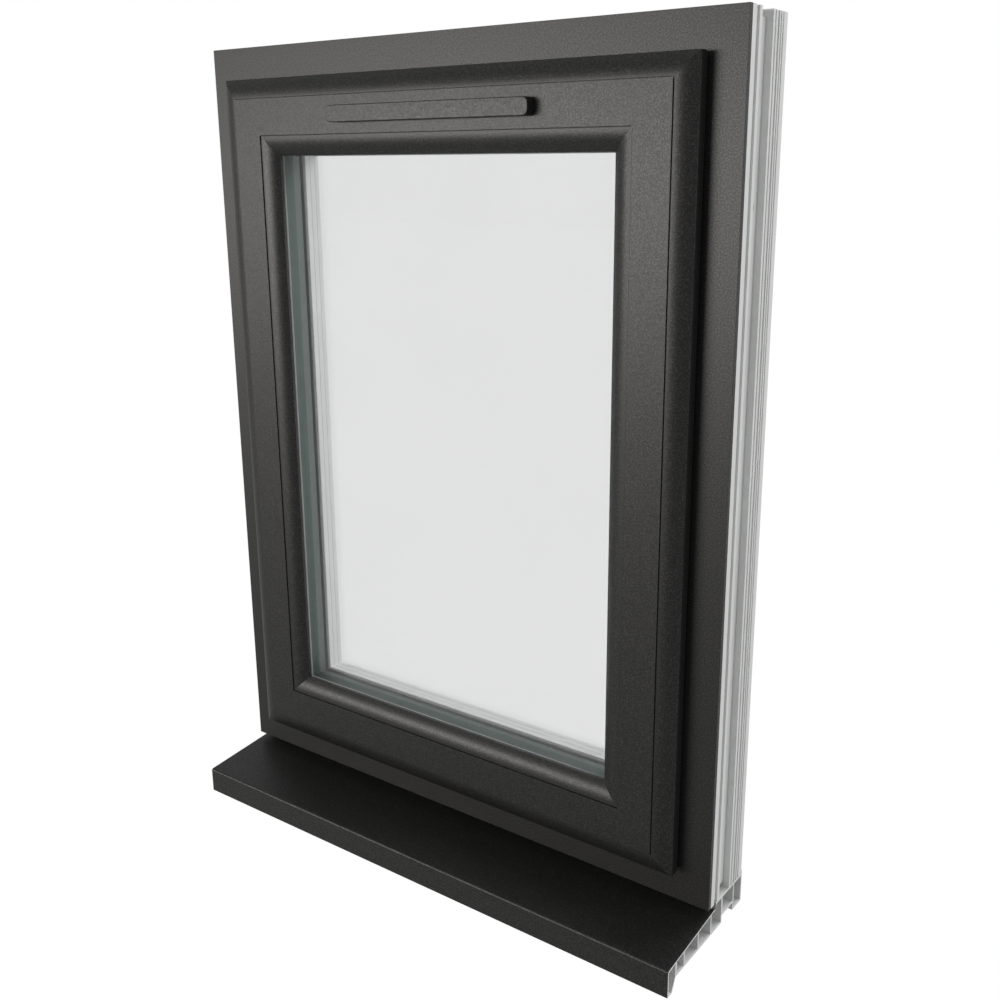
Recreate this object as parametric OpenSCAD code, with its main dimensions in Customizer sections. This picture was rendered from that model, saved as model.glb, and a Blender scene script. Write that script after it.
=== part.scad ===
// Side-hung casement window: an outward-opening sash in a hollow plastic frame on a projecting sill.
// Millimetres. X runs along the width seen from outside, Y into the room, Z up.
// Origin: centre of the sill's bedding face, in the plane of the frame's outside face.
// Sections are drawn as [inward from the frame's outer edge, depth] and swept along each side.

/* [Frame] */
// Overall width of the frame
frame_w = 605; // [560:5:900]
// Overall height of the frame
frame_h = 782; // [700:2:1200]
// Depth of the frame from outside face to room face
frame_d = 70; // [70:0.5:76]
// Width of the frame's outside face, up to the opening
frame_face = 35; // [33:0.5:42]
// Depth of the rebate that takes the sash
rebate_d = 50; // [50:0.5:54]
// Height of the room-side upstand the sash closes against
upstand_h = 17; // [15:0.5:19]
// Thickness of the frame's and sash's outer walls
wall = 2.8; // [2.4:0.1:3]
// Depth of the wide channel round the frame's outer edge
channel_depth = 6; // [4:0.5:7]
// Depth of the deeper key grooves beside the channel
groove_depth = 1.8; // [0.8:0.1:2]
// Diameter of the jamb fixing holes
fixing_d = 8; // [6:0.5:9]
// Distance of the jamb fixing holes from head and bottom
fixing_inset = 150; // [110:5:180]

/* [Sill] */
// Height of the sill's bedding face below the frame
sill_h = 29.8; // [27:0.2:36]
// Reach of the sill nose in front of the frame
sill_reach = 76.4; // [70:0.2:95]
// Depth of the nose below the frame
nose_drop = 42.9; // [41:0.1:48]
// Drop of the sill's top edge at the nose
nose_top_drop = 15.6; // [13:0.1:18]
// Thickness of the sill's skins and webs
sill_wall = 1.9; // [1.6:0.1:2.2]

/* [Sash] */
// Overlap of the sash's lip on the frame's outside face
sash_lap = 3; // [2:0.1:4]
// Distance of the sash's flat face in front of the frame
sash_proud = 21.8; // [20:0.2:26]
// Distance of the lip's outer edge in front of the frame
lip_front = 13.6; // [12.6:0.2:15]
// Gap between the lip's back and the frame
lip_gap = 3.5; // [3:0.1:4]
// Width of the outer moulding
mould_out = 19.4; // [18:0.2:22]
// Width of the flat band between the mouldings
flat_w = 35.4; // [34:0.2:44]
// Width of the inner moulding
mould_in = 19.5; // [18.5:0.1:22]
// Step from the flat band down to each moulding
quirk = 1; // [0.6:0.1:1.4]
// Width of the fine groove along each edge of the flat band
quirk_w = 0.4; // [0.3:0.1:0.8]
// Roundness of the outer moulding, near 1 for one arc from the flat band to the lip
round_out = 0.97; // [0.6:0.01:0.98]
// Roundness of the inner moulding, near 1 for one arc down to the sight line
round_in = 0.97; // [0.6:0.01:0.98]
// Gap between the sash's room face and the upstand
back_gap = 4; // [3.4:0.1:5]

/* [Glazing] */
// Thickness of each glass pane
pane_t = 4; // [4:0.5:5]
// Width of the sealed space between the panes
cavity = 20; // [16:1:20]
// Cover of the sash over the glass edge
glass_cover = 15; // [13:0.5:17]
// Thickness of the glazing gaskets
gasket_t = 3; // [2:0.1:3.4]
// Width of the spacer bar
spacer_w = 7; // [5:0.5:8]
// Thickness of the setting blocks under the glass
block_t = 4; // [3:0.5:5]

/* [Stays] */
// Thickness of the stay plates and arms
stay_t = 3; // [2.5:0.1:3.5]
// Thickness of the sash brackets
bracket_t = 4.2; // [3.6:0.1:5]
// Gap between the layers of a stay
stay_gap = 0.4; // [0.3:0.05:0.5]
// Length of a stay arm between pivots
arm_l = 115; // [110:1:120]
// Width of a stay arm
arm_w = 18; // [15:0.5:19]
// Distance of the arm's fixed pivot from the hinge side
pivot_x = 202.5; // [198:0.5:210]
// Diameter of the pivots
pivot_d = 8; // [6:0.5:9]
// Opening of the arms at full swing
arm_swing = 26; // [20:1:26]

/* [Lock and handle] */
// Width of the lock faceplate
plate_w = 16; // [15:0.5:20]
// Half distance between the two keeps
keep_half = 180; // [150:5:200]
// Travel of the drive bar for a quarter turn
bar_travel = 20; // [18:0.5:20]
// Length of the lever below its pivot
lever_l = 108; // [90:1:130]
// Diameter of the lever's neck
neck_d = 18; // [16:0.5:20]

/* [Trickle vent] */
// Offset of the vent from the middle of the sash
vent_x = 4; // [-20:1:20]
// Length of the outside canopy
canopy_l = 234; // [220:1:250]
// Height of the outside canopy
canopy_h = 15.4; // [14:0.2:18]
// Projection of the outside canopy
canopy_t = 10; // [8:0.5:14]
// Travel of the vent shutter
shutter_travel = 24; // [20:1:24]

/* [Clearances] */
// Radial clearance of a running pivot
run_clear = 0.05; // [0.03:0.01:0.08]
// Radial clearance of screws in their holes
screw_clear = 0.05; // [0.03:0.01:0.1]
// Clearance of parts that slide past each other
slide_clear = 0.35; // [0.3:0.05:0.5]

/* [Hidden] */
$fn = 48;

foil = [0.36, 0.35, 0.34];
white = [0.93, 0.93, 0.92];
steel = [0.7, 0.71, 0.73];
black = [0.1, 0.1, 0.1];
glass = [0.75, 0.85, 0.82, 0.35];

cut = 1;
arc_steps = 12;
hw = frame_w / 2;
z0 = sill_h;
zt = z0 + frame_h;
zc = z0 + frame_h / 2;

// Distances inward from the frame's outer edge
o_lip = frame_face - sash_lap;
stack = stay_t + stay_gap + stay_t + stay_gap + bracket_t;
o_edge = frame_face + stack;
o_flat0 = o_lip + mould_out;
o_flat1 = o_flat0 + flat_w;
o_sight = o_flat1 + mould_in;
o_glass = o_sight - glass_cover;
o_plat = o_glass - block_t;
o_mid = (o_flat0 + o_flat1) / 2;
o_stop = frame_face + upstand_h;

// Depths, negative in front of the frame
y_face = -sash_proud;
y_quirk = y_face + quirk;
y_tip = -lip_front;
y_lip = -lip_gap;
sight_rise = 0.2;
y_sight = y_tip - sight_rise;
leg_t = 3.3;
y_leg = y_sight + leg_t;
y_g0 = y_leg + gasket_t;
y_g1 = y_g0 + pane_t;
y_g2 = y_g1 + cavity;
y_g3 = y_g2 + pane_t;
y_bead = y_g3 + gasket_t;
y_back = rebate_d - back_gap;
web = 2.8;
web_front = 1.5;
y_web = y_lip - web_front;
inner_flat = 1.5;
shoulder_r = round_out * whole_arc(mould_out, y_tip - y_quirk);
inner_r = round_in * whole_arc(mould_in - inner_flat, y_sight - y_quirk);
lip_step = 0.7;
lip_step_d = 1.5;
lip_solid = 4;
lip_skin = 1;
quirk_d = 1;

// Small chamber behind the inner moulding: ends from the glazing platform, walls in front and behind
nib_ends = [1.5, 8.5];
nib_front = 3.2;
nib_back = 2.4;

// Gasket key and bead clip: ends from the sight line or the room face, and depth
key_ends = [6.3, 3.9];
key_d = 1.7;
clip_ends = [9, 6];
clip_d = 1;
clip_play = 0.1;
gasket_w = 8;

// Glazing bead
bead_t = 2;
bead_chamfer = 4.5;
bead_foot = [9, 6];
bead_split = [6.5, 5];
bead_lines = [6, 12.6];
bead_line_w = 0.4;
bead_line_d = 1;

// Glass unit
spacer_set = 3;
spacer_skin = 1.2;
block_l = 60;
block_play = 0.5;
block_x = frame_w / 5;

// Outer edge details of the frame: start and end depth of each groove
key_grooves = [[11.8, 17.2], [60.7, 62.8]];
fine_grooves = [[46, 48.2], [50.5, 54.6], [56.6, 58.8]];
fine_depth = 1;
channel = [22, 42.5];
y_fixing = (channel[0] + channel[1]) / 2;

// Weather seals
lip_seal_set = 1.1;
lip_seal_o = o_lip + lip_seal_set;
lip_seal_w = 1.6;
lip_seal_tip = -1;
root_w = 0.8;
root_d = 2;
stop_seal_set = 0.9;
stop_seal_o = o_edge + stop_seal_set;
stop_seal_w = 4.4;
stop_seal_gap = 0.4;

// Stay geometry in plan, closed
arm_rest = 8.4;
turn_ratio = 2;
piv_o = [-hw + pivot_x, 25];
piv_p = piv_o - arm_l * [cos(arm_rest), sin(arm_rest)];
guide_r = 2.5;
pin_inset = [7, 4];
pin_g = [-hw + o_edge + pin_inset[0], y_back - pin_inset[1]];
plate_ends = [3, 14];
plate_sides = [2, 1.5];
plate_x0 = -hw + frame_face + plate_ends[0];
plate_x1 = piv_o[0] + plate_ends[1];
plate_y0 = plate_sides[0];
plate_y1 = rebate_d - plate_sides[1];
corner_cut = 6;
z_plate = z0 + frame_face;
z_arm = z_plate + stay_t + stay_gap;
z_bracket = z_arm + stay_t + stay_gap;
z_sash = z_bracket + bracket_t;

// Plate screws: from the plate's end or the fixed pivot, and depth
end_screw = [9, 11];
back_screw = [58, 39];
front_screw = [32, 9];
plate_screws = [
    [plate_x0 + end_screw[0], end_screw[1]], [piv_o[0] - back_screw[0], back_screw[1]],
    [piv_o[0] - front_screw[0], front_screw[1]]
];

// Bracket screws: beside the guide pin, halfway, and beside the arm pivot
pin_screw = [13, -3];
pivot_screw = [3, 11.5];
br_screws = [pin_g + pin_screw, (piv_p + pin_g) / 2, piv_p + pivot_screw];
rivet_r = 7;
rivet_h = 1.8;
rivet_gap = 0.2;

// Bracket outline: margins round the guide pin and round the arm pivot
pin_side = 6.5;
pin_back = 3.6;
pin_front = 10;
back_flat = 20;
pivot_side = 11;
pivot_tail = 10;
pivot_front = 9;
pivot_back = 18;

// Path of the guide pin over the swing, and the straight slot that takes it
function turned(v, a) = [v[0] * cos(a) - v[1] * sin(a), v[0] * sin(a) + v[1] * cos(a)];
function guide_at(a) = piv_o + turned(piv_p - piv_o, a) + turned(pin_g - piv_p, -turn_ratio * a);
slot_a = guide_at(0);
slot_b = guide_at(arm_swing);
slot_l = norm(slot_b - slot_a);
slot_n = [slot_a[1] - slot_b[1], slot_b[0] - slot_a[0]] / slot_l;
slot_bow = (guide_at(arm_swing / 2) - (slot_a + slot_b) / 2) * slot_n;
slot_half = guide_r + slide_clear + abs(slot_bow) / 2;
slot_mid = slot_n * slot_bow / 2;

// Screws: shank radius, head radius, head height, length
small_screw = [2, 3.6, 1.6, 14];
long_screw = [2.5, 4.6, 2, 50];
recess_w = 1.8;
recess_d = 1;

// Lock
y_lock = 25;
face_t = 2.5;
bar_w = 12;
bar_gap = 0.3;
bar_t = wall - bar_gap;
bar_over = 36;
bar_half = keep_half + bar_over;
teeth = 17;
pitch_r = bar_travel * 2 / PI;
tooth_pitch = 2 * PI * pitch_r / teeth;
addendum = 1.1;
dedendum = 1.5;
backlash = 0.7;
flank = tan(20);
tooth_w = (tooth_pitch - backlash) / 2;
rack_w = 8;
rack_teeth = 12;
rack_start = 2.5;
gear_play = 0.8;
rack_floor = 3.2;
o_pitch = o_edge + wall + dedendum + rack_floor;
o_spin = o_pitch + pitch_r;
x_spin = hw - o_spin;
plate_over = 24;
plate_half = bar_half + bar_travel + plate_over;
plate_screw_end = 10;
plate_screw_z = plate_half - plate_screw_end;
bar_end = 2;
cam_r = 3;
cam_head_r = 4.2;
cam_head_h = 1.8;
cam_gap = 3.6;
keep_t = 1.8;
keep_hole = [6, 9];
keep_l = 30;
keep_w = 20;
lip_l = 20;
lip_t = 4;
lip_h = 6;
lip_play = 0.5;
case_half = 33;
case_y0 = 14;
case_y1 = y_back - wall;
case_gap = 0.3;
pinion_w = 8;
spindle_w = 7;
spindle_bore_r = 5.6;
handle_screw_z = 27;

// Handle
base_gap = 1.7;
base_w = 2 * (o_spin - o_stop - base_gap);
base_half = 36;
base_t = 9;
base_r = 9;
handle_bite = 22;
handle_screw = [small_screw[0], small_screw[1], small_screw[2], base_t + handle_bite];
socket_d = 3;
grip_out = 32;
grip_y = y_back + grip_out;
bore_end = 8;
spindle_end = 9.5;
spindle_in = 2;
grip_r0 = 8.5;
grip_r1 = 7;
elbow_r = 10;
button_r = 4.5;
button_gap = 0.3;
button_out = 2.5;
button_l = 9.5;

// Trickle vent
canopy_r = 5.5;
canopy_wall = 1.6;
vent_slot_h = 7;
vent_slot_end = 0.02;
vent_slot_r = (vent_slot_h - vent_slot_end) / 2;
z_vent = zt - o_mid;
base_plate_t = 2;
base_end = 9;
base_play = 0.6;
screw_end = 11;
slot_end = 17;
base_plate_l = canopy_l - 2 * base_end;
base_plate_h = canopy_h - 2 * (canopy_wall + base_play);
base_plate_r = canopy_r - canopy_wall - base_play;
canopy_screw_x = base_plate_l / 2 - screw_end;
vent_slot_l = 2 * (canopy_screw_x - slot_end);
louvre_n = 5;
louvre_gap = 8;
louvre_pitch = base_plate_l / louvre_n;
louvre_l = louvre_pitch - louvre_gap;
louvre_w = 4;
ctrl_half = 138;
ctrl_h = 18;
ctrl_r = 4;
ctrl_t = 13;
ctrl_wall = 2;
ctrl_in_h = 13;
ctrl_x0 = -112;
ctrl_x1 = 123;
ctrl_screw_x = 131;
ctrl_n = 4;
ctrl_pitch = 48;
ctrl_slot_l = 22;
ctrl_slot_h = 6;
shutter_t = 3;
shutter_gap = 0.3;
shutter_x0 = -109;
shutter_x1 = 97;
knob_x = 93;
knob_w = 8;
knob_h = 5;
knob_out = 4;

// Sill shape: depth and height below the frame
sill_nose_w = 8.6;
sill_step_y = 13.5;
sill_step_top = 15.5;
sill_step_drop = 6;
sill_rise = 4;
sill_back_t = 2;
sill_back = frame_d + sill_back_t;
sill_leg_y = 53;
sill_mid_y = 29.4;
sill_mid_drop = 22;
sill_heel_y = -62;
sill_webs = [-46.2, -19.2, 6.5];
nose_r = 2.4;
nose_skin = 0.6;
sill_screw_parts = [-2 / 30, 5 / 30, 10.8 / 30];
sill_screw_x = sill_screw_parts * frame_w;
sill_screw_y = 29;

// Height of the sill's sloping top below the frame at a given depth
function sill_top(y) = -nose_top_drop
    + (nose_top_drop - sill_step_drop) * (y + sill_reach) / (sill_step_y + sill_reach);

// Radius of the arc that leaves a flat smoothly and drops by h over the width w
function whole_arc(w, h) = (w * w + h * h) / (2 * h);

// Point where a line from b touches the circle (c, r); s picks the side
function touch(b, c, r, s) = let (
    v = b - c,
    a = atan2(v[1], v[0]) + s * acos(r / norm(v))
) c + r * [cos(a), sin(a)];

// Points of the arc about c from a to b, which lie at the same distance from it
function arc(c, a, b) = let (
    r = norm(a - c),
    a0 = atan2(a[1] - c[1], a[0] - c[0]),
    a1 = atan2(b[1] - c[1], b[0] - c[0])
) [for (i = [0 : arc_steps]) let (t = a0 + (a1 - a0) * i / arc_steps) c + r * [cos(t), sin(t)]];

zone_b = o_sight + 20;
zone_y = frame_d + 10;
zone_d = 140;

module zone(points) translate([0, zone_y, 0]) rotate([90, 0, 0]) linear_extrude(zone_d) polygon(points);

// One mitred length on the hinge side, from a section
module run_left() intersection() {
    translate([-hw, 0, z0]) linear_extrude(frame_h) children();
    zone([[-hw, z0], [-hw + zone_b, z0 + zone_b], [-hw + zone_b, zt - zone_b], [-hw, zt]]);
}

module run_right() mirror([1, 0, 0]) run_left() children();

module run_bottom() intersection() {
    translate([hw, 0, z0]) rotate([0, -90, 0]) linear_extrude(frame_w) children();
    zone([[-hw, z0], [hw, z0], [hw - zone_b, z0 + zone_b], [-hw + zone_b, z0 + zone_b]]);
}

module run_top() translate([0, 0, 2 * zc]) mirror([0, 0, 1]) run_bottom() children();

module ring() {
    run_left() children();
    run_right() children();
    run_bottom() children();
    run_top() children();
}

// Same piece at the bottom and, mirrored, at the head
module both() {
    children();
    translate([0, 0, 2 * zc]) mirror([0, 0, 1]) children();
}

module area(o0, y0, o1, y1) translate([o0, y0]) square([o1 - o0, y1 - y0]);

// Countersunk screw with its head's top at the origin, pointing down; g widens it into a hole
module screw_body(s, g = 0) {
    translate([0, 0, -s[2]]) cylinder(r1 = s[0] + g, r2 = s[1] + g, h = s[2]);
    translate([0, 0, -s[3] - g]) cylinder(r = s[0] + g, h = s[3] - s[2] + 2 * g);
}

module screw(s) difference() {
    screw_body(s);
    translate([-recess_w / 2, -recess_w / 2, -recess_d]) cube([recess_w, recess_w, recess_d + cut]);
}

module frame_section() difference() {
    polygon([
        [0, 0], [frame_face, 0], [frame_face, rebate_d], [o_stop, rebate_d], [o_stop, frame_d], [0, frame_d]
    ]);
    area(-cut, channel[0], channel_depth, channel[1]);
    for (g = key_grooves) area(-cut, g[0], groove_depth, g[1]);
    for (g = fine_grooves) area(-cut, g[0], fine_depth, g[1]);
    area(groove_depth + wall, wall, frame_face - wall, key_grooves[0][0] - web);
    area(channel_depth + wall, key_grooves[0][0], frame_face - wall, rebate_d - 2 * web);
    area(groove_depth + wall, rebate_d - web, frame_face - wall, frame_d - wall);
    area(frame_face, rebate_d + wall, o_stop - wall, frame_d - wall);
    area(stop_seal_o + (stop_seal_w - root_w) / 2, rebate_d - cut, stop_seal_o + (stop_seal_w + root_w) / 2,
        rebate_d + root_d);
}

module sash_section() {
    tip = [o_lip, y_tip];
    a_out = [o_flat0, y_quirk];
    c_out = a_out + [0, shoulder_r];
    sight = [o_sight, y_sight];
    a_in = [o_flat1 + inner_flat, y_quirk];
    c_in = a_in + [0, inner_r];
    difference() {
        polygon(concat(
            [tip], arc(c_out, touch(tip, c_out, shoulder_r, 1), a_out),
            [[o_flat0, y_face], [o_flat1, y_face], [o_flat1, y_quirk]],
            arc(c_in, a_in, touch(sight, c_in, inner_r, -1)),
            [
                sight, [o_sight, y_leg], [o_plat, y_leg], [o_plat, y_back], [o_edge, y_back],
                [o_edge, y_lip], [o_lip + lip_step, y_lip], [o_lip + lip_step, y_lip - lip_step_d],
                [o_lip, y_lip - lip_step_d]
            ]
        ));
        area(o_flat0 - quirk_w, y_face - cut, o_flat0, y_quirk + quirk_d);
        area(o_flat1, y_face - cut, o_flat1 + quirk_w, y_quirk + quirk_d);
        polygon([
            [o_lip + lip_solid, y_tip + lip_skin], [o_flat0 - web / 2, y_quirk + wall],
            [o_flat0 - web / 2, y_lip - wall], [o_lip + lip_solid, y_lip - wall]
        ]);
        area(o_flat0 + web / 2, y_face + wall, o_plat - wall, y_web);
        area(o_edge + wall, y_web + web, o_plat - wall, y_back - wall);
        area(o_plat + nib_ends[0], y_quirk + nib_front, o_plat + nib_ends[1], y_leg - nib_back);
        area(o_sight - key_ends[0], y_leg - key_d, o_sight - key_ends[1], y_leg + cut);
        area(o_plat - clip_d - clip_play, y_back - clip_ends[0] - clip_play, o_plat + cut,
            y_back - clip_ends[1] + clip_play);
        area(lip_seal_o + (lip_seal_w - root_w) / 2, y_lip - root_d, lip_seal_o + (lip_seal_w + root_w) / 2,
            y_lip + cut);
    }
}

module bead_section() difference() {
    polygon([
        [o_plat, y_back], [o_sight - bead_chamfer, y_back], [o_sight, y_back - bead_chamfer],
        [o_sight, y_bead], [o_sight - bead_foot[0], y_bead],
        [o_sight - bead_foot[0], y_bead + bead_foot[1]], [o_plat, y_bead + bead_foot[1]],
        [o_plat, y_back - clip_ends[0]],
        [o_plat - clip_d, y_back - clip_ends[0]], [o_plat - clip_d, y_back - clip_ends[1]],
        [o_plat, y_back - clip_ends[1]]
    ]);
    area(o_plat + bead_t, y_bead + bead_foot[1] + bead_t, o_sight - bead_split[0], y_back - bead_t);
    area(o_sight - bead_split[1], y_bead + bead_t, o_sight - bead_t, y_back - bead_chamfer - bead_t);
    for (l = bead_lines) area(o_sight - bead_line_d, y_bead + l, o_sight + cut, y_bead + l + bead_line_w);
}

// Outer frame
module frame_head() color(white) difference() {
    run_top() frame_section();
    translate([0, 0, 2 * zc]) mirror([0, 0, 1]) stay_plate_holes();
}

module frame_bottom_rail() color(white) difference() {
    run_bottom() frame_section();
    stay_plate_holes();
    for (x = sill_screw_x) translate([x, sill_screw_y, z_plate]) screw_body(long_screw, screw_clear);
}

module jamb_holes() for (z = [z0 + fixing_inset, zt - fixing_inset])
    translate([-hw - cut, y_fixing, z]) rotate([0, 90, 0]) cylinder(d = fixing_d, h = frame_face + 2 * cut);

module frame_hinge_jamb() color(white) difference() {
    run_left() frame_section();
    jamb_holes();
}

module frame_lock_jamb() color(white) difference() {
    run_right() frame_section();
    mirror([1, 0, 0]) jamb_holes();
    keep_screw_places() screw_body(small_screw, screw_clear);
}

module sill_outline() {
    nose_c = [-sill_reach + nose_r, sill_top(-sill_reach + nose_r) - nose_r];
    difference() {
        polygon([
            [-sill_reach, -nose_drop], [-sill_reach, -nose_top_drop], [sill_step_y, -sill_step_drop],
            [sill_step_top, 0], [frame_d, 0], [frame_d, sill_rise], [sill_back, sill_rise],
            [sill_back, -sill_h], [sill_leg_y, -sill_h], [sill_leg_y, -sill_mid_drop],
            [sill_mid_y, -sill_mid_drop], [sill_mid_y, -sill_h], [sill_heel_y, -sill_h],
            [-sill_reach + sill_nose_w, -nose_drop]
        ]);
        difference() {
            translate(nose_c - [nose_r + cut, 0]) square(nose_r + cut);
            translate(nose_c) circle(nose_r);
        }
    }
}

// Hollow cell of the sill between two webs
module sill_cell(ya, yb) polygon([
    [ya, -sill_h + sill_wall], [yb, -sill_h + sill_wall], [yb, sill_top(yb) - sill_wall],
    [ya, sill_top(ya) - sill_wall]
]);

module sill_section() {
    h = sill_wall / 2;
    starts = concat([sill_heel_y + h], sill_webs);
    step_in = sill_step_top + sill_wall;
    difference() {
        sill_outline();
        for (i = [0 : len(sill_webs) - 1]) sill_cell(starts[i] + h, sill_webs[i] - h);
        polygon([
            [sill_webs[2] + h, -sill_h + sill_wall], [sill_mid_y - sill_wall, -sill_h + sill_wall],
            [sill_mid_y - sill_wall, -sill_wall], [step_in, -sill_wall],
            [sill_step_y + h, sill_top(sill_step_y) - sill_wall],
            [sill_webs[2] + h, sill_top(sill_webs[2] + h) - sill_wall]
        ]);
        area(sill_mid_y + h, -sill_mid_drop + sill_wall, sill_leg_y, -sill_wall);
        area(sill_leg_y + sill_wall, -sill_h + sill_wall, sill_back - sill_wall, -sill_wall);
        polygon([
            [-sill_reach + sill_wall, -nose_drop + sill_wall],
            [-sill_reach + sill_nose_w - sill_wall, -nose_drop + sill_wall],
            [sill_heel_y - h, -sill_h], [sill_heel_y - h, sill_top(sill_heel_y - h) - sill_wall],
            [-sill_reach + sill_wall, sill_top(-sill_reach + sill_wall) - sill_wall - nose_skin]
        ]);
    }
}

module sill() color(white) difference() {
    translate([-hw, 0, z0]) rotate([90, 0, 90]) linear_extrude(frame_w) sill_section();
    for (x = sill_screw_x) translate([x, sill_screw_y, z_plate]) screw_body(long_screw, screw_clear);
}

module sill_screws() color(steel)
    for (x = sill_screw_x) translate([x, sill_screw_y, z_plate]) screw(long_screw);

module frame_seal() color(black) ring() union() {
    area(stop_seal_o, y_back + stop_seal_gap, stop_seal_o + stop_seal_w, rebate_d);
    area(stop_seal_o + (stop_seal_w - root_w) / 2, rebate_d - cut, stop_seal_o + (stop_seal_w + root_w) / 2,
        rebate_d + root_d);
}

// Stays
module stay_plate_holes() for (p = plate_screws)
    translate([p[0], p[1], z_plate + stay_t]) screw_body(small_screw, screw_clear);

module guide_slot() {
    a = slot_a + slot_mid;
    b = slot_b + slot_mid;
    w = slot_n * slot_half;
    polygon([a + w, b + w, b - w, a - w]);
    translate(a) circle(slot_half);
    translate(b) circle(slot_half);
}

module stay_plates() color(steel) both() difference() {
    translate([0, 0, z_plate]) linear_extrude(stay_t) difference() {
        polygon([
            [plate_x0, plate_y0 + corner_cut], [plate_x0 + corner_cut, plate_y0],
            [plate_x1 - corner_cut, plate_y0], [plate_x1, plate_y0 + corner_cut],
            [plate_x1, plate_y1 - corner_cut], [plate_x1 - corner_cut, plate_y1],
            [plate_x0 + corner_cut, plate_y1], [plate_x0, plate_y1 - corner_cut]
        ]);
        guide_slot();
        translate(piv_o) circle(d = pivot_d + 2 * run_clear);
    }
    stay_plate_holes();
}

module stay_plate_screws() color(steel) both() for (p = plate_screws)
    translate([p[0], p[1], z_plate + stay_t]) screw(small_screw);

module plate_pivots() color(steel) both() translate([piv_o[0], piv_o[1], z_plate]) {
    cylinder(d = pivot_d, h = 2 * stay_t + stay_gap + rivet_gap);
    translate([0, 0, 2 * stay_t + stay_gap + rivet_gap]) cylinder(r = rivet_r, h = rivet_h);
}

module stay_arms() color(steel) both() translate([0, 0, z_arm]) linear_extrude(stay_t) difference() {
    union() {
        translate(piv_o) rotate(180 + arm_rest) translate([0, -arm_w / 2]) square([arm_l, arm_w]);
        translate(piv_o) circle(d = arm_w);
        translate(piv_p) circle(d = arm_w);
    }
    translate(piv_o) circle(d = pivot_d + 2 * run_clear);
    translate(piv_p) circle(d = pivot_d + 2 * run_clear);
}

module bracket_holes() for (p = br_screws)
    translate([p[0], p[1], z_bracket]) mirror([0, 0, 1]) screw_body(small_screw, screw_clear);

module sash_brackets() color(steel) both() difference() {
    translate([0, 0, z_bracket]) linear_extrude(bracket_t) difference() {
        polygon([
            [pin_g[0] - pin_side, pin_g[1] + pin_back], [pin_g[0] + back_flat, pin_g[1] + pin_back],
            [piv_p[0] + pivot_side, piv_p[1] + pivot_back], [piv_p[0] + pivot_side, piv_p[1] - pivot_front],
            [piv_p[0] - pivot_tail, piv_p[1] - pivot_front], [pin_g[0] - pin_side, pin_g[1] - pin_front]
        ]);
        translate(piv_p) circle(d = pivot_d + 2 * screw_clear);
        translate(pin_g) circle(guide_r + screw_clear);
    }
    bracket_holes();
}

module bracket_screws() color(steel) both() for (p = br_screws)
    translate([p[0], p[1], z_bracket]) mirror([0, 0, 1]) screw(small_screw);

module bracket_pivots() color(steel) both()
    translate([piv_p[0], piv_p[1], z_arm]) cylinder(d = pivot_d, h = z_sash - z_arm);

module guide_pins() color(steel) both() translate([pin_g[0], pin_g[1], z_plate + stay_gap])
    cylinder(r = guide_r, h = z_sash - z_plate - stay_gap);

// Keeps on the lock jamb
module keep_places() for (s = [-1, 1]) translate([hw - frame_face, y_lock, zc + s * keep_half]) children();

module keep_screw_places() keep_places() for (s = [-1, 1])
    translate([-keep_t, keep_hole[0], s * keep_hole[1]]) rotate([0, -90, 0]) children();

module lock_keeps() color(steel) difference() {
    keep_places() {
        translate([-keep_t, -cam_head_r - lip_play - lip_t, -keep_l / 2])
            cube([keep_t, keep_w, keep_l]);
        translate([-lip_h, -cam_head_r - lip_play - lip_t, -lip_l / 2]) cube([lip_h, lip_t, lip_l]);
    }
    keep_screw_places() screw_body(small_screw, screw_clear);
}

module keep_screws() color(steel) keep_screw_places() screw(small_screw);

// Sash
module sash_top_rail() color(foil) difference() {
    run_top() sash_section();
    translate([0, 0, 2 * zc]) mirror([0, 0, 1]) bracket_holes();
    vent_slot(y_face - cut, y_back + cut);
    canopy_screw_places() screw_body(small_screw, screw_clear);
    controller_screw_places() screw_body(small_screw, screw_clear);
}

module sash_bottom_rail() color(foil) difference() {
    run_bottom() sash_section();
    bracket_holes();
}

module sash_hinge_stile() color(foil) run_left() sash_section();

module sash_lock_stile() color(foil) difference() {
    run_right() sash_section();
    translate([
        hw - o_edge - wall - cut, y_lock - bar_w / 2 - slide_clear, zc - bar_half - bar_travel - bar_end
    ]) cube([wall + 2 * cut, bar_w + 2 * slide_clear, 2 * (bar_half + bar_end) + bar_travel]);
    faceplate_screw_places() screw_body(small_screw, screw_clear);
    translate([x_spin, case_y1 - cut, zc]) rotate([-90, 0, 0])
        cylinder(r = spindle_bore_r, h = wall + 2 * cut);
    handle_screw_places() screw_body(handle_screw, screw_clear);
}

module sash_seal() color(black) ring() union() {
    area(lip_seal_o, y_lip, lip_seal_o + lip_seal_w, lip_seal_tip);
    area(lip_seal_o + (lip_seal_w - root_w) / 2, y_lip - root_d, lip_seal_o + (lip_seal_w + root_w) / 2,
        y_lip + cut);
}

// Glass unit
module pane(y, t) translate([-hw + o_glass, y, z0 + o_glass])
    cube([frame_w - 2 * o_glass, t, frame_h - 2 * o_glass]);

module outer_pane() color(glass) pane(y_g0, pane_t);

module inner_pane() color(glass) pane(y_g2, pane_t);

module spacer_bar() color(steel) ring() difference() {
    area(o_sight - spacer_set - spacer_w, y_g1, o_sight - spacer_set, y_g2);
    area(o_sight - spacer_set - spacer_w + spacer_skin, y_g1 + spacer_skin,
        o_sight - spacer_set - spacer_skin, y_g2 - spacer_skin);
}

module edge_seal() color(black) ring() area(o_glass, y_g1, o_sight - spacer_set - spacer_w, y_g2);

module outer_glazing_gasket() color(black) ring() union() {
    area(o_sight - gasket_w, y_leg, o_sight, y_g0);
    area(o_sight - key_ends[0], y_leg - key_d, o_sight - key_ends[1], y_leg + cut);
}

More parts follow.
